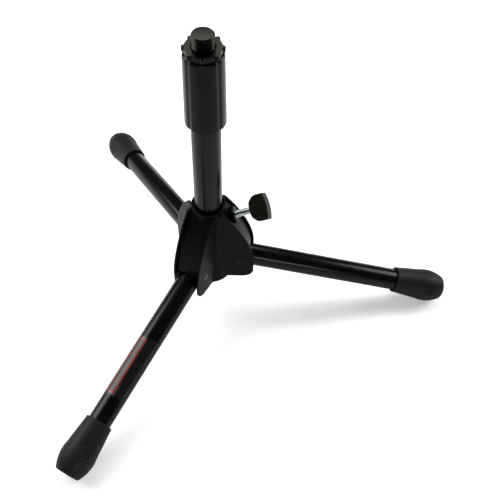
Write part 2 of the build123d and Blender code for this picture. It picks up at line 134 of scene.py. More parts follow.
# ---------------------------------------------------------------- hand tools
class Bench:
    """Hand modelling steps. Each one works on the piece that is taken up."""

    def clear(self) -> None:
        """Put everything down, so that no step reaches another piece."""
        if bpy.context.mode != "OBJECT":
            bpy.ops.object.mode_set(mode="OBJECT")
        bpy.ops.object.select_all(action="DESELECT")

    def take(self, piece: bpy.types.Object) -> None:
        """Take up one piece alone."""
        self.clear()
        piece.select_set(True)
        bpy.context.view_layer.objects.active = piece

    @contextmanager
    def editing(self, piece: bpy.types.Object) -> Iterator[None]:
        """Open a piece for mesh edits, with nothing picked, and close it afterwards.

        Args:
            piece: The piece to edit.
        """
        self.take(piece)
        bpy.ops.object.mode_set(mode="EDIT")
        bpy.ops.mesh.select_all(action="DESELECT")
        yield
        bpy.ops.object.mode_set(mode="OBJECT")

    def pick(self, kind: Element, test: Callable[[object], bool]) -> int:
        """Pick the vertices, edges or faces of the open piece that pass a test.

        Args:
            kind: What to pick.
            test: Takes one vertex, edge or face and says whether it is picked.

        Returns:
            How many were picked.
        """
        bpy.ops.mesh.select_mode(type=kind.value)
        bpy.ops.mesh.select_all(action="DESELECT")
        data = bpy.context.edit_object.data
        mesh = bmesh.from_edit_mesh(data)
        items = {Element.VERTEX: mesh.verts, Element.EDGE: mesh.edges, Element.FACE: mesh.faces}[kind]
        chosen = [item for item in items if test(item)]
        for item in chosen:
            item.select_set(True)
        bmesh.update_edit_mesh(data)
        return len(chosen)

    def drawn(self, name: str, points: Sequence[Vector]) -> bpy.types.Object:
        """Draw a run of edges: a plane is merged to one vertex and extruded from point to point.

        Args:
            name: Name of the new piece.
            points: The run's points. A closed run repeats its first point.

        Returns:
            The new piece.
        """
        self.clear()
        bpy.ops.mesh.primitive_plane_add(size=1.0)
        piece = bpy.context.object
        piece.name = piece.data.name = name
        with self.editing(piece):
            bpy.ops.mesh.select_mode(type="VERT")
            bpy.ops.mesh.select_all(action="SELECT")
            bpy.ops.mesh.merge(type="CENTER")
            bpy.ops.transform.translate(value=points[0])
            for start, end in zip(points, points[1:]):
                bpy.ops.mesh.extrude_region_move(TRANSFORM_OT_translate={"value": end - start})
            bpy.ops.mesh.select_all(action="SELECT")
            bpy.ops.mesh.remove_doubles(threshold=MERGE)
        return piece

    def round_corners(self, piece: bpy.types.Object, corners: Sequence[tuple[Vector, float]], segments: int = 4) -> None:
        """Round corners of a drawn run.

        Args:
            piece: The drawn run.
            corners: Each corner's place and how far back its rounding starts.
            segments: Edges in each rounding.
        """
        with self.editing(piece):
            for place, radius in corners:
                if self.pick(Element.VERTEX, lambda v, p=place: (v.co - p).length < 1e-3):
                    bpy.ops.mesh.bevel(offset=radius, segments=segments, affect="VERTICES", clamp_overlap=True)

    def turned(
        self,
        name: str,
        profile: Sequence[tuple[float, ...]],
        steps: int = 96,
        closed: bool = True,
        angle: float = FULL_TURN,
    ) -> bpy.types.Object:
        """Turn a profile around the bench's Z axis, as on a lathe.

        Args:
            name: Name of the new piece.
            profile: Radius, height and, where a corner is rounded, its rounding.
            steps: Steps around.
            closed: Whether the profile returns to its start.
            angle: How far it is turned.

        Returns:
            The turned piece.
        """
        points = [Vector((p[0], 0, p[1])) for p in profile]
        piece = self.drawn(name, points + points[:1] if closed else points)
        self.round_corners(piece, [(at, p[2]) for at, p in zip(points, profile) if len(p) > 2])
        with self.editing(piece):
            bpy.ops.mesh.select_all(action="SELECT")
            bpy.ops.mesh.spin(steps=steps, angle=angle, center=(0, 0, 0), axis=(0, 0, 1))
        self.close_up(piece)
        return piece

    def plate(
        self, name: str, outline: Sequence[Vector], depth: Vector, corners: Sequence[tuple[Vector, float]] = ()
    ) -> bpy.types.Object:
        """Cut a plate: an outline is filled and extruded.

        Args:
            name: Name of the new piece.
            outline: Corners of the outline, in order.
            depth: Direction and length of the extrusion.
            corners: Corners to round first, with their rounding.

        Returns:
            The plate.
        """
        piece = self.drawn(name, list(outline) + [outline[0]])
        if corners:
            self.round_corners(piece, corners, segments=6)
        with self.editing(piece):
            bpy.ops.mesh.select_all(action="SELECT")
            bpy.ops.mesh.edge_face_add()
            bpy.ops.mesh.select_all(action="SELECT")
            bpy.ops.mesh.extrude_region_move(TRANSFORM_OT_translate={"value": depth})
        self.close_up(piece)
        return piece

    def rod(self, name: str, radius: float, start: float, end: float, sides: int = 64) -> bpy.types.Object:
        """Turn a plain rod along Z, used to cut holes."""
        return self.turned(name, [(0, start), (radius, start), (radius, end), (0, end)], sides, closed=False)

    def bevel(
        self, piece: bpy.types.Object, test: Callable[[bmesh.types.BMEdge], bool], width: float, segments: int = 3
    ) -> None:
        """Round the edges that pass a test.

        Args:
            piece: The piece.
            test: Takes an edge and says whether it is rounded.
            width: Width of the rounding on each side.
            segments: Faces across the rounding.
        """
        with self.editing(piece):
            if self.pick(Element.EDGE, test):
                bpy.ops.mesh.bevel(offset=width, segments=segments, affect="EDGES", clamp_overlap=True)

    def close_up(self, piece: bpy.types.Object) -> None:
        """Merge doubled vertices and turn all faces outwards."""
        with self.editing(piece):
            bpy.ops.mesh.select_all(action="SELECT")
            bpy.ops.mesh.remove_doubles(threshold=MERGE)
            bpy.ops.mesh.normals_make_consistent(inside=False)

    def apply(self, piece: bpy.types.Object, kind: str, **settings: object) -> None:
        """Add a modifier, set it and apply it.

        Args:
            piece: The piece.
            kind: Blender's name for the modifier.
            **settings: The modifier's values.
        """
        self.take(piece)
        bpy.ops.object.modifier_add(type=kind)
        modifier = piece.modifiers[-1]
        for key, value in settings.items():
            setattr(modifier, key, value)
        bpy.ops.object.modifier_apply(modifier=modifier.name)

    def work(self, piece: bpy.types.Object, tool: bpy.types.Object, cut: Cut) -> None:
        """Add one solid to a piece, or cut with it. The tool solid is used up."""
        self.apply(piece, "BOOLEAN", operation=cut.value, solver="EXACT", object=tool)
        bpy.data.objects.remove(tool)

    def copy(self, piece: bpy.types.Object, name: str) -> bpy.types.Object:
        """Copy a piece with a mesh of its own."""
        self.take(piece)
        bpy.ops.object.duplicate(linked=False)
        twin = bpy.context.object
        twin.name = twin.data.name = name
        return twin

    def move(self, piece: bpy.types.Object, frame: Matrix) -> bpy.types.Object:
        """Carry a piece into another frame and fix it there."""
        self.take(piece)
        piece.matrix_world = frame @ piece.matrix_world
        bpy.ops.object.transform_apply(location=True, rotation=True, scale=True)
        return piece

    def ring_of(self, piece: bpy.types.Object, count: int, first: float = 0.0) -> list[bpy.types.Object]:
        """Copy a piece around the Z axis.

        Args:
            piece: The first one, used up.
            count: How many, evenly spaced.
            first: Angle of the first, in radians.

        Returns:
            The copies.
        """
        made = []
        for index in range(count):
            twin = self.copy(piece, f"{piece.name}_{index}")
            made.append(self.move(twin, Matrix.Rotation(first + index * FULL_TURN / count, 4, "Z")))
        bpy.data.objects.remove(piece)
        return made

    def finish(self, piece: bpy.types.Object, sharp: float = 32.0, weighted: bool = False) -> bpy.types.Object:
        """Smooth a piece's shading up to an angle.

        Args:
            piece: The piece.
            sharp: Edges sharper than this, in degrees, stay sharp.
            weighted: Whether large faces set the shading at their edges.

        Returns:
            The same piece.
        """
        self.close_up(piece)
        self.take(piece)
        bpy.ops.object.shade_smooth_by_angle(angle=math.radians(sharp))
        if weighted:
            self.apply(piece, "WEIGHTED_NORMAL", mode="FACE_AREA", weight=50, keep_sharp=True)
        return piece

    def set_in_place(self, piece: bpy.types.Object, frame: Matrix) -> bpy.types.Object:
        """Turn a finished piece from bench millimetres into the stand's metres."""
        return self.move(piece, Matrix.Scale(MM, 4) @ frame)


# ---------------------------------------------------------------- shader sums
class Value:
    """A shader socket that can be used in sums."""

    def __init__(self, shader: Shader, socket: bpy.types.NodeSocket) -> None:
        """Keep the socket and the shader that it belongs to."""
        self.shader = shader
        self.socket = socket

    def _sum(self, operation: str, first: Number, second: Number = 0.0) -> Value:
        """Add a Math node."""
        return self.shader.node("ShaderNodeMath", {"operation": operation}, {0: first, 1: second})

    def __add__(self, other: Number) -> Value:
        """Sum."""
        return self._sum("ADD", self, other)

    def __radd__(self, other: float) -> Value:
        """Sum with a number on the left."""
        return self._sum("ADD", other, self)

    def __sub__(self, other: Number) -> Value:
        """Difference."""
        return self._sum("SUBTRACT", self, other)

    def __rsub__(self, other: float) -> Value:
        """Difference from a number."""
        return self._sum("SUBTRACT", other, self)

    def __mul__(self, other: Number) -> Value:
        """Product."""
        return self._sum("MULTIPLY", self, other)

    def __rmul__(self, other: float) -> Value:
        """Product with a number on the left."""
        return self._sum("MULTIPLY", other, self)

    def __truediv__(self, other: Number) -> Value:
        """Quotient."""
        return self._sum("DIVIDE", self, other)

    def __abs__(self) -> Value:
        """Size without sign."""
        return self._sum("ABSOLUTE", self)

    def __gt__(self, other: Number) -> Value:
        """1 where greater, else 0."""
        return self._sum("GREATER_THAN", self, other)

    def __lt__(self, other: Number) -> Value:
        """1 where less, else 0."""
        return self._sum("LESS_THAN", self, other)

    def ramp(self, low: float, high: float) -> Value:
        """Run smoothly from 0 at low to 1 at high."""
        settings = {"interpolation_type": "SMOOTHSTEP"}
        return self.shader.node("ShaderNodeMapRange", settings, {"Value": self, "From Min": low, "From Max": high})

    def angle_to(self, other: Number) -> Value:
        """Angle of the point whose sine side is this value and whose cosine side is the other."""
        return self._sum("ARCTAN2", self, other)


class Shader:
    """One node material in the making."""

    def __init__(self, name: str) -> None:
        """Start an empty material with one surface shader."""
        self.material = bpy.data.materials.new(name)
        self.material.use_nodes = True
        self.tree = self.material.node_tree
        self.tree.nodes.clear()
        output = self.tree.nodes.new("ShaderNodeOutputMaterial")
        self.surface = self.tree.nodes.new("ShaderNodeBsdfPrincipled")
        self.tree.links.new(self.surface.outputs[0], output.inputs["Surface"])

    def node(
        self,
        kind: str,
        settings: dict[str, object] | None = None,
        inputs: dict[int | str, object] | None = None,
        output: int | str = 0,
    ) -> Value:
        """Add a node.

        Args:
            kind: Blender's name for the node.
            settings: Its options, set before its sockets.
            inputs: Numbers, colours or values for its sockets.
            output: Which of its sockets is used.

        Returns:
            The chosen output.
        """
        made = self.tree.nodes.new(kind)
        for key, value in (settings or {}).items():
            setattr(made, key, value)
        for key, value in (inputs or {}).items():
            self.feed(made.inputs[key], value)
        return Value(self, made.outputs[output])

    def feed(self, socket: bpy.types.NodeSocket, value: object) -> None:
        """Link a value to a socket, or set a number or colour on it."""
        if isinstance(value, Value):
            self.tree.links.new(value.socket, socket)
        elif isinstance(value, tuple) and len(value) == 3 and socket.type == "RGBA":
            socket.default_value = (*value, 1.0)
        else:
            socket.default_value = value

    def place(self) -> Value:
        """Place on the piece, in metres."""
        return self.node("ShaderNodeTexCoord", output="Object")

    def turned_place(self, centre: Vector, turn: Matrix) -> tuple[Value, Value, Value]:
        """Place measured from a centre along turned axes.

        Args:
            centre: Centre, in metres.
            turn: Rotation whose columns are the axes.

        Returns:
            The distances along the three axes.
        """
        settings = {"vector_type": "POINT"}
        inverse = turn.inverted()
        inputs = {
            "Vector": self.place(),
            "Location": tuple(-(inverse @ centre)),
            "Rotation": tuple(inverse.to_euler()),
        }
        moved = self.node("ShaderNodeMapping", settings, inputs)
        split = self.tree.nodes.new("ShaderNodeSeparateXYZ")
        self.tree.links.new(moved.socket, split.inputs[0])
        return tuple(Value(self, split.outputs[index]) for index in range(3))

    def stretched(self, scale: tuple[float, float, float]) -> Value:
        """Place with each axis scaled."""
        return self.node("ShaderNodeMapping", {"vector_type": "POINT"}, {"Vector": self.place(), "Scale": scale})

    def noise(self, scale: float, detail: float = 2.0, roughness: float = 0.5, at: Value | None = None) -> Value:
        """Soft noise from 0 to 1.

        Args:
            scale: Waves per metre.
            detail: Octaves.
            roughness: Strength of the finer octaves.
            at: Where it is read, if not at the place on the piece.

        Returns:
            The noise.
        """
        inputs = {"Vector": at or self.place(), "Scale": scale, "Detail": detail, "Roughness": roughness}
        return self.node("ShaderNodeTexNoise", {"noise_dimensions": "3D"}, inputs)

    def grain(self, scale: float) -> Value:
        """Distance to the nearest of many scattered cells."""
        inputs = {"Vector": self.place(), "Scale": scale}
        return self.node("ShaderNodeTexVoronoi", {"feature": "F1"}, inputs, output="Distance")

    def blend(self, mask: Number, first: object, second: object) -> Value:
        """Mix two colours by a mask from 0 to 1."""
        return self.node("ShaderNodeMix", {"data_type": "RGBA"}, {0: mask, 6: first, 7: second}, output=2)

    def relief(self, height: Number, depth: float, strength: float = 1.0) -> Value:
        """Bump from a height from 0 to 1, of that depth in metres."""
        return self.node("ShaderNodeBump", {}, {"Height": height, "Distance": depth, "Strength": strength})

    def finish(self, **sockets: object) -> bpy.types.Material:
        """Set the surface's sockets and hand over the material.

        Args:
            **sockets: Socket names, with underscores for spaces.

        Returns:
            The material.
        """
        for name, value in sockets.items():
            self.feed(self.surface.inputs[name.replace("_", " ")], value)
        return self.material


# ---------------------------------------------------------------- finishes
@dataclass(frozen=True)
class Enamel:
    """Black stoved enamel on steel tube, glossy with a slight orange peel and fine rub marks."""

    paint: Colour = (0.0014, 0.0015, 0.0016)
    dust: Colour = (0.0055, 0.0055, 0.005)
    gloss: float = 0.2
    mirror: float = 0.15

    def material(self) -> bpy.types.Material:
        """Build the enamel."""
        s = Shader("tube_enamel")
        dust = s.noise(260, 4, 0.65).ramp(0.56, 0.8) * 0.5
        rub = s.noise(1500, 3, 0.7).ramp(0.55, 0.75)
        roughness = self.gloss + 0.08 * dust + 0.05 * rub + 0.05 * s.noise(90, 2)
        peel = s.noise(1100, 2, 0.45)
        return s.finish(
            Base_Color=s.blend(dust, self.paint, self.dust),
            Roughness=roughness,
            Specular_IOR_Level=self.mirror,
            Normal=s.relief(peel, 6e-6, 0.7),
        )


@dataclass(frozen=True)
class Moulding:
    """Moulded black plastic with a fine spark-eroded grain."""

    name: str
    body: Colour = (0.0017, 0.0017, 0.0014)
    scuff: Colour = (0.0055, 0.0055, 0.0046)
    roughness: float = 0.4
    mirror: float = 0.055
    grain: float = 2600
    depth: float = 1.2e-5

    def material(self) -> bpy.types.Material:
        """Build the plastic."""
        s = Shader(self.name)
        cloud = s.noise(140, 4, 0.6).ramp(0.5, 0.78)
        specks = s.noise(2100, 2, 0.6).ramp(0.66, 0.76)
        scuff = cloud * 0.35 + specks * 0.25
        grain = s.noise(self.grain, 3, 0.6) * 0.7 + s.grain(self.grain * 0.55) * 0.3
        return s.finish(
            Base_Color=s.blend(scuff, self.body, self.scuff),
            Roughness=self.roughness + 0.1 * cloud - 0.05 * s.noise(420, 2),
            Specular_IOR_Level=self.mirror,
            Normal=s.relief(grain, self.depth, 0.8),
        )


@dataclass(frozen=True)
class Rubber:
    """Matt black rubber, a little dusty, with a faint flow grain."""

    body: Colour = (0.0085, 0.0085, 0.0078)
    dust: Colour = (0.024, 0.0238, 0.022)

    def material(self) -> bpy.types.Material:
        """Build the rubber."""
        s = Shader("foot_rubber")
        dust = s.noise(330, 5, 0.68).ramp(0.52, 0.8) * 0.55
        fine = s.noise(3200, 3, 0.6)
        return s.finish(
            Base_Color=s.blend(dust, self.body, self.dust),
            Roughness=0.42 + 0.16 * dust + 0.08 * fine,
            Specular_IOR_Level=0.1,
            Normal=s.relief(fine * 0.7 + s.noise(700, 2) * 0.3, 2.0e-5, 0.7),
        )


@dataclass(frozen=True)
class Steel:
    """Bare or blackened steel, with fine turning marks and small stains."""

    name: str
    metal: Colour
    stain: Colour
    roughness: float

    def material(self) -> bpy.types.Material:
        """Build the steel."""
        s = Shader(self.name)
        stain = s.noise(900, 4, 0.7).ramp(0.48, 0.78)
        marks = s.noise(1.0, 3, 0.6, at=s.stretched((700, 700, 5200)))
        return s.finish(
            Base_Color=s.blend(stain, self.metal, self.stain),
            Metallic=1.0,
            Roughness=self.roughness + 0.16 * stain + 0.08 * marks,
            Normal=s.relief(marks, 8e-6, 0.6),
        )


@dataclass(frozen=True)
class Nylon:
    """Dull black nylon."""

    body: Colour = (0.004, 0.004, 0.0042)

    def material(self) -> bpy.types.Material:
        """Build the nylon."""
        s = Shader("nylon")
        fine = s.noise(1800, 3, 0.6)
        return s.finish(
            Base_Color=s.blend(fine.ramp(0.5, 0.8), self.body, (0.012, 0.012, 0.0125)),
            Roughness=0.48 + 0.1 * fine,
            Normal=s.relief(fine, 1e-5, 0.6),
        )


@dataclass(frozen=True)
class BorderedFilm:
    """Dark glossy film with a plain double red outline and a few pale scuffs."""

    centre: Vector
    turn: Matrix
    tube_radius: float
    box_length: float = 50.0
    box_width: float = 7.4
    line: float = 0.42
    gap: float = 0.62
    ground: Colour = (0.0035, 0.0032, 0.0032)
    outline: Colour = (0.42, 0.035, 0.02)
    scuff: Colour = (0.32, 0.31, 0.29)

    def frame_line(self, along: Value, around: Value, inset: float, line: float) -> Value:
        """Mask of one plain rectangle line.

        Args:
            along: Distance from the middle, along the leg, in millimetres.
            around: Distance from the middle, around the leg, in millimetres.
            inset: How far inside the outer size its outside edge lies.
            line: Width of the line.

        Returns:
            1 on the line and 0 elsewhere.
        """
        half_length = self.box_length / 2 - inset
        half_width = self.box_width / 2 - inset
        outside = (abs(along) < half_length) * (abs(around) < half_width)
        inside = (abs(along) < half_length - line) * (abs(around) < half_width - line)
        return outside - inside

    def material(self) -> bpy.types.Material:
        """Build the film."""
        s = Shader("leg_film")
        across, up, along = s.turned_place(self.centre, self.turn)
        around = across.angle_to(up) * (self.tube_radius / 1.0)
        along = along / MM
        outer = self.frame_line(along, around, 0.0, self.line)
        inner = self.frame_line(along, around, self.line + self.gap, self.line * 0.7)
        worn = s.noise(2600, 4, 0.7).ramp(0.36, 0.5)
        lines = (outer + inner * 0.75) * (0.55 + 0.45 * worn)
        near_end = (along - self.box_length / 2 + 9).ramp(-3.0, 3.0) * (abs(around - 4.6) < 1.1)
        scratches = s.noise(1.0, 4, 0.75, at=s.stretched((2400, 2400, 2400))).ramp(0.56, 0.62) * near_end * 0.8
        colour = s.blend(lines, self.ground, self.outline)
        return s.finish(
            Base_Color=s.blend(scratches, colour, self.scuff),
            Roughness=0.24 + 0.12 * s.noise(800, 3) + 0.25 * scratches,
            Specular_IOR_Level=0.3,
            Normal=s.relief(s.noise(900, 2), 5e-6, 0.6),
        )


@dataclass
class Finishes:
    """All finishes of the stand, each built once."""

    made: dict[Slot, bpy.types.Material] = field(default_factory=dict)

    def build(self, film_centre: Vector, film_turn: Matrix, film_radius: float) -> None:
        """Build every finish.

        Args:
            film_centre: Middle of the film's stretch of leg, in metres.
            film_turn: Axes of the film: across, up and along the leg.
            film_radius: Radius of the film in millimetres.
        """
        self.made = {
            Slot.ENAMEL: Enamel().material(),
            Slot.RUBBER: Rubber().material(),
            Slot.HUB: Moulding("hub_plastic").material(),
            Slot.CLUTCH: Moulding(
                "clutch_plastic", body=(0.0018, 0.0018, 0.0015), roughness=0.2, mirror=0.1, grain=1500, depth=5e-6
            ).material(),
            Slot.KNOB: Moulding(
                "knob_plastic", body=(0.0105, 0.0095, 0.0075), scuff=(0.028, 0.0245, 0.0195), roughness=0.44
            ).material(),
            Slot.ZINC: Steel("zinc_steel", (0.56, 0.60, 0.585), (0.34, 0.37, 0.36), 0.2).material(),
            Slot.BLACK_STEEL: Steel("black_steel", (0.011, 0.0108, 0.0086), (0.006, 0.0059, 0.005), 0.24).material(),
            Slot.FILM: BorderedFilm(film_centre, film_turn, film_radius).material(),
            Slot.NYLON: Nylon().material(),
        }

    def dress(self, piece: bpy.types.Object, slot: Slot) -> None:
        """Give a piece one finish, in all its material slots."""
        piece.data.materials.clear()
        piece.data.materials.append(self.made[slot])


# ---------------------------------------------------------------- shared sizes
@dataclass(frozen=True)
class Stand:
    """Sizes that several sub-assemblies share, in millimetres."""

    legs: int = 3
    slope: float = math.radians(15.0)
    pivot_height: float = 60.396
    pivot_radius: float = 25.5
    hub_top: float = 123.896
    hub_bottom: float = 41.396
    bore: float = 11.18
    tube_radius: float = 9.525
    channel_half: float = 10.225
    housing_half: float = 12.425
    housing_reach: float = 38.0
    screw_height: float = 100.996
    screw_rise: float = math.radians(24.0)

    def leg_angle(self, number: int) -> float:
        """Angle of a leg around the post."""
        return (number - 1) * FULL_TURN / self.legs

    def leg_frame(self, number: int) -> Matrix:
        """Frame of a leg: Z runs out along it from its pivot and Y is its upper side."""
        tilt = Matrix.Rotation(math.pi / 2 + self.slope, 4, "Y") @ Matrix.Rotation(math.pi / 2, 4, "Z")
        pivot = Matrix.Translation((self.pivot_radius, 0, self.pivot_height))
        return Matrix.Rotation(self.leg_angle(number), 4, "Z") @ pivot @ tilt

    def screw_frame(self) -> Matrix:
        """Frame of the clamp screw: Z runs out along it from the axis of the post and X is level."""
        tilt = Matrix.Rotation(math.pi / 2 - self.screw_rise, 4, "Y") @ Matrix.Rotation(math.pi / 2, 4, "Z")
        return Matrix.Translation((0, 0, self.screw_height)) @ tilt


class SubAssembly:
    """What every sub-assembly shares: the bench, the finishes and the stand's sizes."""

    def __init__(self, stand: Stand, bench: Bench, finishes: Finishes, nodes: dict[str, bpy.types.Object]) -> None:
        """Keep what the sub-assembly works with.

        Args:
            stand: Shared sizes.
            bench: Hand tools.
            finishes: The stand's finishes.
            nodes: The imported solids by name.
        """
        self.stand = stand
        self.bench = bench
        self.finishes = finishes
        self.nodes = nodes

    def fit(self, piece: bpy.types.Object, body: str, slot: Slot, *replaced: str) -> None:
        """Dress a new piece, hang it on its body and hide the solids that it stands for."""
        self.finishes.dress(piece, slot)
        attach(piece, body)
        if replaced:
            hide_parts(*replaced)
        log.info("piece %s on %s, %d faces", piece.name, body, len(piece.data.polygons))

    def keep(self, slot: Slot, *names: str) -> None:
        """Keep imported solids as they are, in a finish of the stand's own."""
        for name in names:
            self.finishes.dress(self.nodes[name], slot)
            log.info("solid %s kept", name)


def arc(centre: Point, radius: float, start: float, end: float, steps: int) -> list[Point]:
    """Points along an arc.

    Args:
        centre: Its centre.
        radius: Its radius.
        start: Start angle in radians.
        end: End angle in radians.
        steps: How many edges it gets.

    Returns:
        The points, both ends among them.
    """
    angles = [start + (end - start) * index / steps for index in range(steps + 1)]
    return [(centre[0] + radius * math.cos(a), centre[1] + radius * math.sin(a)) for a in angles]


def through(points: Sequence[Point], slopes: Sequence[Point], steps: int) -> list[Point]:
    """Smooth run through three points.

    Args:
        points: Start, middle and end.
        slopes: Unit directions at the start and at the end.
        steps: Edges in each half.

    Returns:
        The points of the run.
    """
    p0, p1, p2 = (Vector(p) for p in points)
    first, last = (Vector(s).normalized() for s in slopes)
    h0, h1 = (p1 - p0).length, (p2 - p1).length
    middle = (3 * ((p1 - p0) / h0**2 + (p2 - p1) / h1**2) - first / h0 - last / h1) / (2 * (1 / h0 + 1 / h1))
    run: list[Point] = []
    for start, end, out, back, length in ((p0, p1, first, middle, h0), (p1, p2, middle, last, h1)):
        for index in range(steps):
            t = index / steps
            at = (
                start * (2 * t**3 - 3 * t**2 + 1)
                + out * length * (t**3 - 2 * t**2 + t)
                + end * (3 * t**2 - 2 * t**3)
                + back * length * (t**3 - t**2)
            )
            run.append((at.x, at.y))
    return run + [(p2.x, p2.y)]


# ---------------------------------------------------------------- hub
@dataclass
class HubSizes:
    """Sizes of the moulded hub, in millimetres."""

    collar_radius: float = 14.0
    collar_height: float = 12.0
    mouth_radius: float = 12.7
    mouth_depth: float = 4.0
    core_foot: float = 20.0
    sleeve: float = 13.78
    corner: float = 9.0
    shoulder: Point = (31.0, 31.0)
    crest_end: float = 2.0
    rim_round: float = 0.55
    roof_drop: float = 2.4
    roof_wall: float = 2.6
    stop_gap: float = 0.05
    pin_hole: float = 3.02
    pocket: float = 11.496
    slot_start: float = 15.475
    boss_radius: float = 7.0
    boss_end: float = 24.4
    screw_hole: float = 3.3
    groove: float = 3.8
    groove_height: float = 44.6
    crest_steps: int = 14


class Hub(SubAssembly):
    """Moulded hub: a core with a collar, three leg housings and the boss of the clamp screw."""

    sizes = HubSizes()

    def crest(self, inset: float = 0.0) -> list[Point]:
        """Upper edge of a housing's cheeks, as radius and height, moved in towards the post."""
        s, h = self.stand, self.sizes
        points = (
            (h.sleeve - 1, s.hub_top - 3),
            (h.shoulder[0], s.pivot_height + h.shoulder[1]),
            (s.housing_reach, s.pivot_height + h.crest_end),
        )
        return [(r - inset, z) for r, z in through(points, ((1, -1.15), (0, -1)), h.crest_steps)]

    def cheek(self, side: int) -> bpy.types.Object:
        """Cut one cheek of the housing along +X and round its rims.

        Args:
            side: 1 or -1, for the side of the leg.

        Returns:
            The cheek.
        """
        s, h = self.stand, self.sizes
        corner = arc((s.housing_reach - h.corner, s.hub_bottom + h.corner), h.corner, 0, -math.pi / 2, 8)
        run = [*self.crest(), *corner, (0, s.hub_bottom), (0, s.hub_top - 3)]
        inner = side * s.channel_half
        outer = side * s.housing_half
        outline = [Vector((r, inner, z)) for r, z in run]
        piece = self.bench.plate("cheek", outline, Vector((0, outer - inner, 0)))

        def rim(edge: bmesh.types.BMEdge, level: float) -> bool:
            """Say whether an edge lies on the free rim at a level across the leg."""
            flat = all(abs(v.co.y - level) < 1e-3 for v in edge.verts)
            return flat and any(v.co.x > 1 for v in edge.verts)

        self.bench.bevel(piece, lambda e: rim(e, outer), h.rim_round, 4)
        self.bench.bevel(piece, lambda e: rim(e, inner), h.rim_round * 0.6, 3)
        return piece

    def roof(self) -> bpy.types.Object:
        """Build the sloping roof between the cheeks."""
        s, h = self.stand, self.sizes
        stop = s.pivot_height + (s.tube_radius + h.stop_gap) / math.cos(s.slope)

        def clipped(run: list[Point]) -> list[Point]:
            """Keep the part of a run above the leg."""
            line = [stop - (r - s.pivot_radius) * math.tan(s.slope) for r, _ in run]
            kept = [p for p, low in zip(run, line) if p[1] > low]
            r, z = run[len(kept)]
            low = stop - (r - s.pivot_radius) * math.tan(s.slope)
            above = kept[-1]
            share = (above[1] - low) / (above[1] - z)
            return [*kept, (above[0] + (r - above[0]) * share, low)]

        upper = clipped(self.crest(h.roof_drop))
        under = clipped(self.crest(h.roof_drop + h.roof_wall))
        half = s.channel_half + 0.4
        outline = [Vector((r, -half, z)) for r, z in [*upper, *reversed(under)]]
        piece = self.bench.plate("roof", outline, Vector((0, 2 * half, 0)))
        lower = upper[-1]
        self.bench.bevel(
            piece,
            lambda e: all(abs(v.co.x - lower[0]) < 1e-3 and abs(v.co.z - lower[1]) < 1e-3 for v in e.verts),
            0.7,
            3,
        )
        return piece

    def core(self) -> bpy.types.Object:
        """Turn the core with its collar, as a solid."""
        s, h = self.stand, self.sizes
        return self.bench.turned(
            "hub_body_shell",
            [
                (0, s.hub_bottom),
                (h.core_foot, s.hub_bottom, 0.5),
                (h.collar_radius, s.hub_top - h.collar_height, 1.2),
                (h.collar_radius, s.hub_top, 0.5),
                (0, s.hub_top),
            ],
            steps=120,
            closed=False,
        )

    def boss(self) -> bpy.types.Object:
        """Turn the boss of the clamp screw, with a rounded rim."""
        h = self.sizes
        piece = self.bench.turned(
            "boss", [(0, h.sleeve), (h.boss_radius, h.sleeve), (h.boss_radius, h.boss_end, 0.8), (0, h.boss_end)],
            steps=64, closed=False,
        )
        return self.bench.move(piece, self.stand.screw_frame())

    def pocket(self) -> bpy.types.Object:
        """Make the room that a leg needs to swing from open to folded, as a cutter along +X."""
        s, h = self.stand, self.sizes
        top = arc((s.pivot_radius, s.pivot_height), h.pocket, 0.15, math.pi, 28)
        run = [
            (s.pivot_radius + 60, s.pivot_height),
            *top,
            (s.pivot_radius - h.pocket, s.pivot_height),
            (h.slot_start, s.pivot_height),
            (h.slot_start, s.hub_bottom - 5),
            (s.pivot_radius + 60, s.hub_bottom - 5),
        ]
        run = [run[0], *top, (h.slot_start, s.pivot_height - 4.5), (h.slot_start, s.hub_bottom - 5), run[-1]]
        outline = [Vector((r, -s.channel_half, z)) for r, z in run]
        return self.bench.plate("pocket", outline, Vector((0, 2 * s.channel_half, 0)))

    def bores(self) -> list[bpy.types.Object]:
        """Turn the cutters of the post bore, the underside groove, the pin holes and the screw hole."""
        s, h = self.stand, self.sizes
        step = s.hub_top - h.mouth_depth
        bore = self.bench.turned(
            "bore",
            [
                (0, s.hub_bottom - 5),
                (s.bore + 0.6, s.hub_bottom - 5),
                (s.bore + 0.6, s.hub_bottom),
                (s.bore, s.hub_bottom + 0.6),
                (s.bore, step - 0.5),
                (s.bore + 0.5, step),
                (h.mouth_radius, step, 0.3),
                (h.mouth_radius, s.hub_top - 0.4),
                (h.mouth_radius + 0.4, s.hub_top + 0.02),
                (h.mouth_radius + 0.4, s.hub_top + 5),
                (0, s.hub_top + 5),
            ],
            steps=120,
            closed=False,
        )
        groove = self.bench.turned(
            "groove",
            [
                (h.sleeve, s.hub_bottom - 1),
                (h.sleeve + h.groove, s.hub_bottom - 1),
                (h.sleeve + h.groove, s.hub_bottom),
                (h.sleeve, s.hub_bottom + h.groove_height),
            ],
            steps=120,
        )
        screw = self.bench.rod("screw_hole", h.screw_hole, 10, h.boss_end + 5)
        cutters = [bore, groove, self.bench.move(screw, s.screw_frame())]
        for number in range(1, s.legs + 1):
            pin = self.bench.rod("pin_hole", h.pin_hole, -20, 20)
            lay = Matrix.Rotation(s.leg_angle(number), 4, "Z") @ Matrix.Translation(
                (s.pivot_radius, 0, s.pivot_height)
            )
            cutters.append(self.bench.move(pin, lay @ Matrix.Rotation(math.pi / 2, 4, "X")))
        return cutters

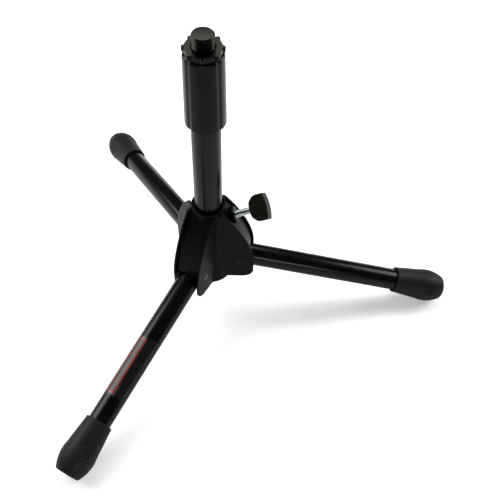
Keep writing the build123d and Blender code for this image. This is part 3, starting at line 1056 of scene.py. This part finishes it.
    def build(self) -> None:
        """Join the hub from its walls, cut it out, and dress it and the solids that stay."""
        bench, s = self.bench, self.stand
        hub = self.core()
        for part in (self.cheek(1), self.cheek(-1), self.roof()):
            for copy in bench.ring_of(part, s.legs):
                bench.work(hub, copy, Cut.ADD)
        bench.work(hub, self.boss(), Cut.ADD)
        for copy in bench.ring_of(self.pocket(), s.legs):
            bench.work(hub, copy, Cut.REMOVE)
        for cutter in self.bores():
            bench.work(hub, cutter, Cut.REMOVE)
        bench.finish(hub, 28, weighted=True)
        bench.set_in_place(hub, Matrix.Identity(4))
        self.fit(hub, "hub", Slot.HUB, "hub_body")
        for number in range(1, s.legs + 1):
            self.keep(Slot.BLACK_STEEL, f"leg_pivot_pin_{number}")
            self.keep(Slot.NYLON, f"leg_spacers_{number}")
        self.keep(Slot.ZINC, "clamp_nut", "clamp_shoe")


# ---------------------------------------------------------------- legs
@dataclass
class LegSizes:
    """Sizes of a leg, in millimetres along it from its pivot."""

    tube_start: float = -5.5
    tube_end: float = 182.5
    tube_wall: float = 1.2
    tube_round: float = 0.35
    pin_hole: float = 3.08
    cap_start: float = 145.5
    cap_length: float = 46.0
    flare_at: float = 28.0
    mouth: float = 11.3
    flare: float = 14.2
    end: float = 10.0
    crown: float = 30.0
    bore_depth: float = 37.0
    lip_depth: float = 1.6
    lip_gap: float = 0.8
    ribs: int = 7
    rib_depth: float = 0.22
    film_start: float = 70.0
    film_length: float = 54.0
    film_thickness: float = 0.12
    film_wrap: float = math.radians(170.0)
    film_turn: float = math.radians(20.0)


class Legs(SubAssembly):
    """Three enamelled tube legs with rubber foot caps, one of them wrapped in film."""

    sizes = LegSizes()

    def tube(self) -> bpy.types.Object:
        """Turn the leg tube and drill its pin hole."""
        z, r = self.sizes, self.stand.tube_radius
        inner = r - z.tube_wall
        tube = self.bench.turned(
            "leg_tube_body",
            [
                (r, z.tube_start, z.tube_round),
                (r, z.tube_end, z.tube_round),
                (inner, z.tube_end, 0.2),
                (inner, z.tube_start, 0.2),
            ],
            steps=96,
        )
        hole = self.bench.rod("hole", z.pin_hole, -2 * r, 2 * r)
        self.bench.work(tube, self.bench.move(hole, Matrix.Rotation(math.pi / 2, 4, "Y")), Cut.REMOVE)
        return self.bench.finish(tube, 35)

    def crown_run(self) -> list[Point]:
        """Curved end of the foot cap as radius and distance, with its fine moulded rings."""
        z = self.sizes
        start = Vector((z.flare, z.flare_at))
        end = Vector((z.end, z.cap_length))
        middle = (start + end) / 2
        chord = end - start
        inward = Vector((-chord.y, chord.x)).normalized()
        centre = middle + inward * math.sqrt(z.crown**2 - (chord.length / 2) ** 2)
        first = math.atan2(start.y - centre.y, start.x - centre.x)
        last = math.atan2(end.y - centre.y, end.x - centre.x)
        run: list[Point] = []
        for index in range(z.ribs):
            for share, depth in ((0.0, 0.0), (0.3, 0.0), (0.62, 0.0), (0.74, 1.0), (0.88, 1.0)):
                angle = first + (last - first) * (index + share) / z.ribs
                radius = z.crown - depth * z.rib_depth
                run.append((centre.x + radius * math.cos(angle), centre.y + radius * math.sin(angle)))
        return run

    def cap(self) -> bpy.types.Object:
        """Turn the rubber foot cap, with a lip at its mouth, rings on its crown and a dished end."""
        z, r = self.sizes, self.stand.tube_radius
        profile = [
            (z.mouth, 0.0, 0.55),
            (z.mouth + 0.28, 1.9),
            (z.mouth + 0.2, 2.4),
            (z.flare - 0.55, z.flare_at - 3.2),
            (z.flare - 0.12, z.flare_at - 0.5),
            (z.flare + 0.05, z.flare_at - 0.3),
            *self.crown_run(),
            (z.end, z.cap_length, 0.6),
            (z.end - 2.2, z.cap_length, 0.25),
            (z.end - 2.6, z.cap_length - 0.45, 0.2),
            (0.0, z.cap_length - 0.45),
            (0.0, z.bore_depth),
            (r, z.bore_depth),
            (r, z.lip_depth + 0.6, 0.2),
            (r + z.lip_gap, z.lip_depth, 0.3),
            (r + z.lip_gap, 0.0, 0.25),
        ]
        cap = self.bench.turned("foot_cap_body", profile, steps=112, closed=True)
        self.bench.move(cap, Matrix.Translation((0, 0, z.cap_start)))
        return self.bench.finish(cap, 24)

    def film(self) -> bpy.types.Object:
        """Roll the film: its thin section is spun part of a turn around the tube and closed at both edges."""
        z, r = self.sizes, self.stand.tube_radius
        end = z.film_start + z.film_length
        outer = r + z.film_thickness
        section = [(r, z.film_start), (outer, z.film_start), (outer, end), (r, end)]
        film = self.bench.turned("leg_film_sheet", section, steps=72, angle=z.film_wrap)
        with self.bench.editing(film):
            bpy.ops.mesh.select_all(action="SELECT")
            bpy.ops.mesh.fill_holes(sides=4)
        start = math.pi / 2 + z.film_wrap / 2 + z.film_turn
        self.bench.move(film, Matrix.Rotation(start, 4, "Z"))
        return self.bench.finish(film, 40)

    def film_place(self) -> tuple[Vector, Matrix, float]:
        """Middle of the film's stretch in metres, its axes, and its outer radius in millimetres."""
        z, s = self.sizes, self.stand
        frame = s.leg_frame(s.legs)
        centre = frame @ Vector((0, 0, z.film_start + z.film_length / 2)) * MM
        turn = frame.to_3x3() @ Matrix.Rotation(z.film_turn, 3, "Z")
        return centre, turn, s.tube_radius + z.film_thickness

    def build(self) -> None:
        """Make one leg, copy it to its three places and wrap the film."""
        bench, s = self.bench, self.stand
        first_tube, first_cap = self.tube(), self.cap()
        for number in range(1, s.legs + 1):
            frame, body = s.leg_frame(number), f"leg_{number}"
            tube = bench.set_in_place(bench.copy(first_tube, f"leg_tube_{number}_skin"), frame)
            self.fit(tube, body, Slot.ENAMEL, f"leg_tube_{number}")
            cap = bench.set_in_place(bench.copy(first_cap, f"foot_cap_{number}_skin"), frame)
            self.fit(cap, body, Slot.RUBBER, f"foot_cap_{number}")
            self.keep(Slot.HUB, f"leg_end_plug_{number}")
        for piece in (first_tube, first_cap):
            bpy.data.objects.remove(piece)
        film = bench.set_in_place(self.film(), s.leg_frame(s.legs))
        self.fit(film, f"leg_{s.legs}", Slot.FILM, "leg_film")


# ---------------------------------------------------------------- post and clutch
@dataclass
class PostSizes:
    """Sizes of the post, its twist clutch and its threaded top, in millimetres above the floor."""

    tube_radius: float = 11.1
    tube_wall: float = 1.2
    tube_bottom: float = 45.996
    tube_top: float = 239.996
    grip_bottom: float = 213.996
    grip_top: float = 273.996
    grip_low_radius: float = 15.25
    grip_high_radius: float = 14.5
    grip_shoulder: float = 2.0
    grip_wall: float = 1.9
    grip_top_wall: float = 4.0
    flutes: int = 8
    flute_radius: float = 7.0
    flute_depth: float = 0.45
    inner_hole: float = 8.08
    ring_bottom: float = 274.796
    ring_thickness: float = 3.5
    ring_radius: float = 12.9
    ring_hole: float = 8.24
    lobe_radius: float = 1.8
    stud_radius: float = 7.9375
    stud_bottom: float = 254.996
    neck_radius: float = 7.4
    neck_top: float = 278.396
    stud_top: float = 287.996
    stud_chamfer: float = 0.8
    stud_pitch: float = 0.94
    thread_depth: float = 0.5


class Post(SubAssembly):
    """Outer tube, twist clutch, inner tube, threaded stud and lock ring."""

    sizes = PostSizes()

    def tube(self) -> bpy.types.Object:
        """Turn the outer tube with softened ends."""
        z = self.sizes
        inner = z.tube_radius - z.tube_wall
        profile = [
            (z.tube_radius, z.tube_bottom, 0.3),
            (z.tube_radius, z.tube_top, 0.35),
            (inner, z.tube_top, 0.2),
            (inner, z.tube_bottom, 0.2),
        ]
        return self.bench.finish(self.bench.turned("post_tube_skin", profile, steps=128), 35)

    def fluted_outline(self) -> list[Vector]:
        """Cross-section of the grip at its bottom: lands with a shallow flute between each pair."""
        z = self.sizes
        far = z.grip_low_radius - z.flute_depth + z.flute_radius
        reach = (z.grip_low_radius**2 + far**2 - z.flute_radius**2) / (2 * z.grip_low_radius * far)
        half = math.acos(reach)
        sweep = math.asin(z.grip_low_radius * math.sin(half) / z.flute_radius)
        points: list[Vector] = []
        for index in range(z.flutes):
            middle = index * FULL_TURN / z.flutes
            hollow = arc((far, 0), z.flute_radius, math.pi + sweep, math.pi - sweep, 8)
            for x, y in hollow:
                points.append(Matrix.Rotation(middle, 3, "Z") @ Vector((x, y, z.grip_bottom)))
            land = FULL_TURN / z.flutes - 2 * half
            for step in range(1, 6):
                angle = middle + half + land * step / 6
                at = (z.grip_low_radius * math.cos(angle), z.grip_low_radius * math.sin(angle), z.grip_bottom)
                points.append(Vector(at))
        return points

    def grip(self) -> bpy.types.Object:
        """Shape the clutch grip: a fluted section is drawn up with a taper, shouldered and bored out."""
        z = self.sizes
        grip = self.bench.drawn("clutch_grip_skin", [*self.fluted_outline(), self.fluted_outline()[0]])
        taper = z.grip_high_radius / z.grip_low_radius
        body = z.grip_top - z.grip_shoulder - z.grip_bottom
        with self.bench.editing(grip):
            bpy.ops.mesh.select_all(action="SELECT")
            bpy.ops.mesh.edge_face_add()
            for share in (1 / 3, 2 / 3, 1.0):
                bpy.ops.mesh.extrude_region_move(TRANSFORM_OT_translate={"value": (0, 0, body / 3)})
                step = (1 - (1 - taper) * share) / (1 - (1 - taper) * (share - 1 / 3))
                bpy.ops.transform.resize(value=(step, step, 1), center_override=(0, 0, z.grip_bottom))
            for rise, draw in ((0.75, 0.985), (0.6, 0.965), (0.4, 0.95), (0.25, 0.93)):
                bpy.ops.mesh.extrude_region_move(TRANSFORM_OT_translate={"value": (0, 0, rise * z.grip_shoulder / 2)})
                bpy.ops.transform.resize(value=(draw, draw, 1), center_override=(0, 0, z.grip_bottom))
        self.bench.close_up(grip)
        self.bench.bevel(
            grip, lambda e: len(e.link_faces) == 2 and all(abs(v.co.z - z.grip_bottom) < 1e-3 for v in e.verts), 0.5, 4
        )
        bore = self.bench.turned(
            "grip_bore",
            [
                (0, z.grip_bottom - 5),
                (z.grip_low_radius - z.grip_wall + 0.5, z.grip_bottom - 5),
                (z.grip_low_radius - z.grip_wall + 0.5, z.grip_bottom),
                (z.grip_low_radius - z.grip_wall, z.grip_bottom + 0.6),
                (z.grip_low_radius - z.grip_wall, z.grip_top - z.grip_top_wall),
                (z.inner_hole, z.grip_top - z.grip_top_wall),
                (z.inner_hole, z.grip_top - 0.5),
                (z.inner_hole + 0.5, z.grip_top),
                (z.inner_hole + 0.5, z.grip_top + 5),
                (0, z.grip_top + 5),
            ],
            steps=96,
            closed=False,
        )
        self.bench.work(grip, bore, Cut.REMOVE)
        return self.bench.finish(grip, 30, weighted=True)

    def ring(self) -> bpy.types.Object:
        """Shape the lock ring: a disc with eight rounded lobes, softened all round."""
        z = self.sizes
        top = z.ring_bottom + z.ring_thickness
        ring = self.bench.turned(
            "lock_ring_skin",
            [(0, z.ring_bottom), (z.ring_radius, z.ring_bottom, 0.5), (z.ring_radius, top, 0.6), (0, top)],
            steps=96,
            closed=False,
        )
        lobe = self.bench.turned(
            "lobe",
            [(0, z.ring_bottom), (z.lobe_radius, z.ring_bottom, 0.5), (z.lobe_radius, top, 0.6), (0, top)],
            steps=32,
            closed=False,
        )
        self.bench.move(lobe, Matrix.Translation((z.ring_radius, 0, 0)))
        for copy in self.bench.ring_of(lobe, z.flutes):
            self.bench.work(ring, copy, Cut.ADD)
        hole = self.bench.turned(
            "ring_hole",
            [
                (0, z.ring_bottom - 2),
                (z.ring_hole + 0.4, z.ring_bottom - 2),
                (z.ring_hole + 0.4, z.ring_bottom),
                (z.ring_hole, z.ring_bottom + 0.5),
                (z.ring_hole, top - 0.5),
                (z.ring_hole + 0.5, top),
                (z.ring_hole + 0.5, top + 2),
                (0, top + 2),
            ],
            steps=96,
            closed=False,
        )
        self.bench.work(ring, hole, Cut.REMOVE)
        return self.bench.finish(ring, 30, weighted=True)

    def stud(self) -> bpy.types.Object:
        """Turn the plain stud, with its neck and chamfered head; a real thread is screwed onto its head afterwards."""
        z = self.sizes
        stud = self.bench.turned(
            "thread_stud_skin",
            [
                (0, z.stud_bottom),
                (6.9, z.stud_bottom, 0.3),
                (6.9, z.grip_top - 4),
                (z.neck_radius, z.grip_top - 3.4),
                (z.neck_radius, z.stud_top - 1.4),
                (z.stud_radius - 0.05, z.stud_top - 1.15),
                (z.stud_radius - 0.05, z.stud_top - z.stud_chamfer, 0.12),
                (z.stud_radius - z.stud_chamfer, z.stud_top, 0.15),
                (0, z.stud_top),
            ],
            steps=96,
            closed=False,
        )
        return self.bench.finish(stud, 25)

    def thread(self, name: str, radius: float, depth: float, pitch: float, low: float, high: float) -> bpy.types.Object:
        """Screw one turn of a V profile up a length, and trim it level at both ends.

        Args:
            name: Name of the new piece.
            radius: Outer radius.
            depth: Depth of the thread.
            pitch: Rise in one turn.
            low: Height where it starts.
            high: Height where it ends.

        Returns:
            The threaded length, closed at both ends.
        """
        root = radius - depth
        turns = math.ceil((high - low) / pitch) + 3
        start = low - 1.5 * pitch
        run = [
            Vector((root, 0, start)),
            Vector((radius, 0, start + 0.42 * pitch)),
            Vector((radius, 0, start + 0.58 * pitch)),
            Vector((root, 0, start + pitch)),
        ]
        thread = self.bench.drawn(name, run)
        self.bench.apply(thread, "SCREW", angle=FULL_TURN, screw_offset=pitch, iterations=turns, steps=48, render_steps=48)
        self.bench.close_up(thread)
        with self.bench.editing(thread):
            for level, outer in ((low, False), (high, True)):
                bpy.ops.mesh.select_all(action="SELECT")
                bpy.ops.mesh.bisect(
                    plane_co=(0, 0, level),
                    plane_no=(0, 0, 1),
                    use_fill=True,
                    clear_outer=outer,
                    clear_inner=not outer,
                    threshold=1e-5,
                )
        self.bench.close_up(thread)
        return thread

    def build(self) -> None:
        """Build the post from the tube up to the stud."""
        z, place = self.sizes, Matrix.Identity(4)
        bench = self.bench
        self.fit(bench.set_in_place(self.tube(), place), "post", Slot.ENAMEL, "post_tube")
        self.keep(Slot.HUB, "post_end_plug", "clutch_ferrule", "clutch_collet")
        self.keep(Slot.NYLON, "clutch_washer", "tube_guide", "lock_ring_washer")
        self.keep(Slot.ENAMEL, "inner_tube")
        self.fit(bench.set_in_place(self.grip(), place), "clutch_grip", Slot.CLUTCH, "clutch_grip")
        stud = self.stud()
        thread = self.thread("thread", z.stud_radius, z.thread_depth, z.stud_pitch, z.neck_top, z.stud_top - 1.3)
        bench.work(stud, thread, Cut.ADD)
        bench.finish(stud, 25)
        self.fit(bench.set_in_place(stud, place), "inner_tube", Slot.BLACK_STEEL, "thread_stud")
        self.fit(bench.set_in_place(self.ring(), place), "lock_ring", Slot.BLACK_STEEL, "lock_ring")


# ---------------------------------------------------------------- clamp screw
@dataclass
class ScrewSizes:
    """Sizes of the wing screw, in millimetres along it from the axis of the post."""

    bolt_start: float = 17.1
    bolt_end: float = 47.9
    radius: float = 3.0
    point_radius: float = 2.0
    point_length: float = 1.2
    pitch: float = 1.0
    thread_depth: float = 0.55
    knob_start: float = 38.0
    knob_length: float = 15.0
    neck_width: float = 12.0
    neck_length: float = 5.0
    width: float = 22.0
    thickness: float = 12.0
    crown: float = 1.5
    round: float = 1.1
    turn: float = math.radians(50.0)
    dish: float = 0.35
    rib_radius: float = 0.7


class WingScrew(Post):
    """Zinc bolt with a moulded wing knob."""

    screw = ScrewSizes()

    def bolt(self) -> bpy.types.Object:
        """Turn the bolt's core and point, and screw its thread on."""
        z = self.screw
        root = z.radius - z.thread_depth
        bolt = self.bench.turned(
            "wing_bolt_skin",
            [
                (0, z.bolt_start),
                (z.point_radius, z.bolt_start, 0.3),
                (z.point_radius, z.bolt_start + z.point_length),
                (root + 0.02, z.bolt_start + z.point_length + 0.6),
                (root + 0.02, z.bolt_end),
                (0, z.bolt_end),
            ],
            steps=64,
            closed=False,
        )
        low = z.bolt_start + z.point_length + 0.4
        thread = self.thread("thread", z.radius, z.thread_depth, z.pitch, low, z.bolt_end - 0.3)
        self.bench.work(bolt, thread, Cut.ADD)
        return self.bench.finish(bolt, 25)

    def knob(self) -> bpy.types.Object:
        """Cut the wing knob, round it, dish its two broad faces and groove its thin edges."""
        z = self.screw
        end = z.knob_start + z.knob_length
        half, neck = z.width / 2, z.neck_width / 2
        bow = (half**2 + z.crown**2) / (2 * z.crown)
        swing = math.asin(half / bow)
        crown = arc((0, end - bow), bow, math.pi / 2 - swing, math.pi / 2 + swing, 10)
        run = [
            (-neck, z.knob_start),
            (neck, z.knob_start),
            (half, z.knob_start + z.neck_length),
            *crown,
            (-half, z.knob_start + z.neck_length),
        ]
        outline = [Vector((x, -z.thickness / 2, along)) for x, along in run]
        corners = [(outline[index], size) for index, size in ((0, 2.2), (1, 2.2), (2, 2.0), (-1, 2.0))]
        knob = self.bench.plate("wing_knob_skin", outline, Vector((0, z.thickness, 0)), corners)
        self.bench.bevel(
            knob, lambda e: abs(e.verts[0].co.y - e.verts[1].co.y) < 1e-3 and len(e.link_faces) == 2, z.round, 4
        )
        with self.bench.editing(knob):
            self.bench.pick(Element.FACE, lambda f: abs(f.normal.y) > 0.99 and f.calc_area() > 40)
            bpy.ops.mesh.inset(thickness=0.55, depth=0.0, use_individual=True)
            bpy.ops.mesh.inset(thickness=0.35, depth=-z.dish, use_individual=True)
        self.bench.close_up(knob)
        for side in (-1, 1):
            for offset in (-2.9, 0.0, 2.9):
                groove = self.bench.rod("groove", z.rib_radius, z.knob_start + z.neck_length + 0.8, end + 3, 16)
                self.bench.move(groove, Matrix.Translation((side * (half + 0.38), offset, 0)))
                self.bench.work(knob, groove, Cut.REMOVE)
        socket = self.bench.rod("socket", z.radius + 0.02, z.knob_start - 2, z.bolt_end)
        self.bench.work(knob, socket, Cut.REMOVE)
        self.bench.move(knob, Matrix.Rotation(math.pi / 2 - z.turn, 4, "Z"))
        return self.bench.finish(knob, 32, weighted=True)

    def build(self) -> None:
        """Build the screw and set it in the hub's boss."""
        place = self.stand.screw_frame()
        self.fit(self.bench.set_in_place(self.bolt(), place), "wing_screw", Slot.ZINC, "wing_bolt")
        self.fit(self.bench.set_in_place(self.knob(), place), "wing_screw", Slot.KNOB, "wing_knob")


# ---------------------------------------------------------------- studio
@dataclass(frozen=True)
class Lamp:
    """A large soft lamp, in metres and watts."""

    name: str
    place: tuple[float, float, float]
    size: tuple[float, float]
    power: float
    tint: Colour = (1.0, 1.0, 1.0)
    aim: tuple[float, float, float] = (0.0, 0.0, 0.1)


@dataclass
class Studio:
    """Pale floor, soft lamps and the camera."""

    camera_place: tuple[float, float, float] = (0.02606, -0.40592, 0.59240)
    camera_azimuth: float = math.radians(-1.2222)
    camera_elevation: float = math.radians(52.5247)
    camera_roll: float = math.radians(1.9712)
    lens: float = 55.35
    sensor: float = 36.0
    floor_colour: Colour = (0.8, 0.8, 0.79)
    floor_lift: float = 0.35
    sky: Colour = (0.06, 0.06, 0.063)
    lamps: tuple[Lamp, ...] = (
        Lamp("lamp_left", (-0.95, 0.25, 0.75), (0.7, 0.9), 17.0, (1.0, 0.985, 0.95)),
        Lamp("lamp_right", (1.0, 0.35, 0.6), (0.6, 0.8), 13.0, (1.0, 0.985, 0.95)),
        Lamp("lamp_front", (0.25, -1.15, 0.42), (0.6, 0.16), 4.0, (0.86, 0.93, 1.0)),
        Lamp("lamp_top", (0.0, 0.7, 1.1), (0.9, 0.5), 10.0),
    )

    def floor(self) -> bpy.types.Object:
        """Lay the floor, which fades to white away from the stand."""
        bench = Bench()
        bench.clear()
        bpy.ops.mesh.primitive_plane_add(size=30.0)
        floor = bpy.context.object
        floor.name = floor.data.name = "floor"
        s = Shader("pale_floor")
        path = s.node("ShaderNodeLightPath", output="Is Camera Ray")
        glossy = s.node("ShaderNodeLightPath", output="Is Glossy Ray")
        speckle = s.noise(40, 3)
        colour = s.blend(speckle, self.floor_colour, tuple(c * 0.985 for c in self.floor_colour))
        away = s.node("ShaderNodeVectorMath", {"operation": "LENGTH"}, {0: s.place()}, output="Value").ramp(0.5, 2.2)
        lift = (path + glossy * 0.2) * (self.floor_lift + (1.0 - self.floor_lift) * away)
        glow = s.node("ShaderNodeCombineColor", {"mode": "RGB"}, {0: lift, 1: lift, 2: lift})
        material = s.finish(
            Base_Color=colour, Roughness=0.9, Specular_IOR_Level=0.1, Emission_Color=glow, Emission_Strength=1.0
        )
        floor.data.materials.append(material)
        floor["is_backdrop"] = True
        return floor

    def sky_light(self) -> None:
        """Light the room softly, and show white to the camera."""
        world = bpy.data.worlds.new("room")
        bpy.context.scene.world = world
        world.use_nodes = True
        tree = world.node_tree
        tree.nodes.clear()
        output = tree.nodes.new("ShaderNodeOutputWorld")
        path = tree.nodes.new("ShaderNodeLightPath")
        mix = tree.nodes.new("ShaderNodeMixShader")
        room = tree.nodes.new("ShaderNodeBackground")
        white = tree.nodes.new("ShaderNodeBackground")
        room.inputs["Color"].default_value = (*self.sky, 1.0)
        white.inputs["Color"].default_value = (1.0, 1.0, 1.0, 1.0)
        tree.links.new(path.outputs["Is Camera Ray"], mix.inputs["Fac"])
        tree.links.new(room.outputs[0], mix.inputs[1])
        tree.links.new(white.outputs[0], mix.inputs[2])
        tree.links.new(mix.outputs[0], output.inputs["Surface"])

    def hang(self, lamp: Lamp) -> None:
        """Hang one lamp, turned to what it lights."""
        data = bpy.data.lights.new(lamp.name, "AREA")
        data.shape = "RECTANGLE"
        data.size, data.size_y = lamp.size
        data.energy = lamp.power
        data.color = lamp.tint
        light = bpy.data.objects.new(lamp.name, data)
        bpy.context.scene.collection.objects.link(light)
        light.location = lamp.place
        towards = Vector(lamp.aim) - Vector(lamp.place)
        light.rotation_euler = towards.to_track_quat("-Z", "Y").to_euler()

    def camera(self) -> None:
        """Set up the camera."""
        data = bpy.data.cameras.new("camera")
        data.lens, data.sensor_width = self.lens, self.sensor
        data.clip_start, data.clip_end = 0.01, 50.0
        camera = bpy.data.objects.new("camera", data)
        bpy.context.scene.collection.objects.link(camera)
        flat = math.cos(self.camera_elevation)
        back = Vector(
            (
                math.sin(self.camera_azimuth) * flat,
                -math.cos(self.camera_azimuth) * flat,
                math.sin(self.camera_elevation),
            )
        )
        level = (-back).to_track_quat("-Z", "Y")
        camera.rotation_mode = "QUATERNION"
        camera.rotation_quaternion = level @ Quaternion((0, 0, 1), self.camera_roll)
        camera.location = self.camera_place
        bpy.context.scene.camera = camera

    def build(self) -> None:
        """Build the whole studio."""
        bpy.context.scene.view_settings.view_transform = "Standard"
        self.camera()
        self.floor()
        self.sky_light()
        for lamp in self.lamps:
            self.hang(lamp)
        log.info("studio with %d lamps", len(self.lamps))


# ---------------------------------------------------------------- whole stand
def corners(box: tuple[Vector, Vector]) -> list[list[float]]:
    """Box corners as plain lists of numbers."""
    return [[float(value) for value in corner] for corner in box]


def main() -> None:
    """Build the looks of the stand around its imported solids."""
    logging.basicConfig(level=logging.INFO, format="%(name)s: %(message)s")
    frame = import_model()
    solid_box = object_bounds()
    Studio().build()
    stand, bench, finishes = Stand(), Bench(), Finishes()
    nodes = frame["nodes"]
    legs = Legs(stand, bench, finishes, nodes)
    finishes.build(*legs.film_place())
    Hub(stand, bench, finishes, nodes).build()
    legs.build()
    Post(stand, bench, finishes, nodes).build()
    WingScrew(stand, bench, finishes, nodes).build()
    bench.clear()
    {"solids": corners(solid_box), "visual": corners(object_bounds())}


if __name__ == "__main__":
    main()
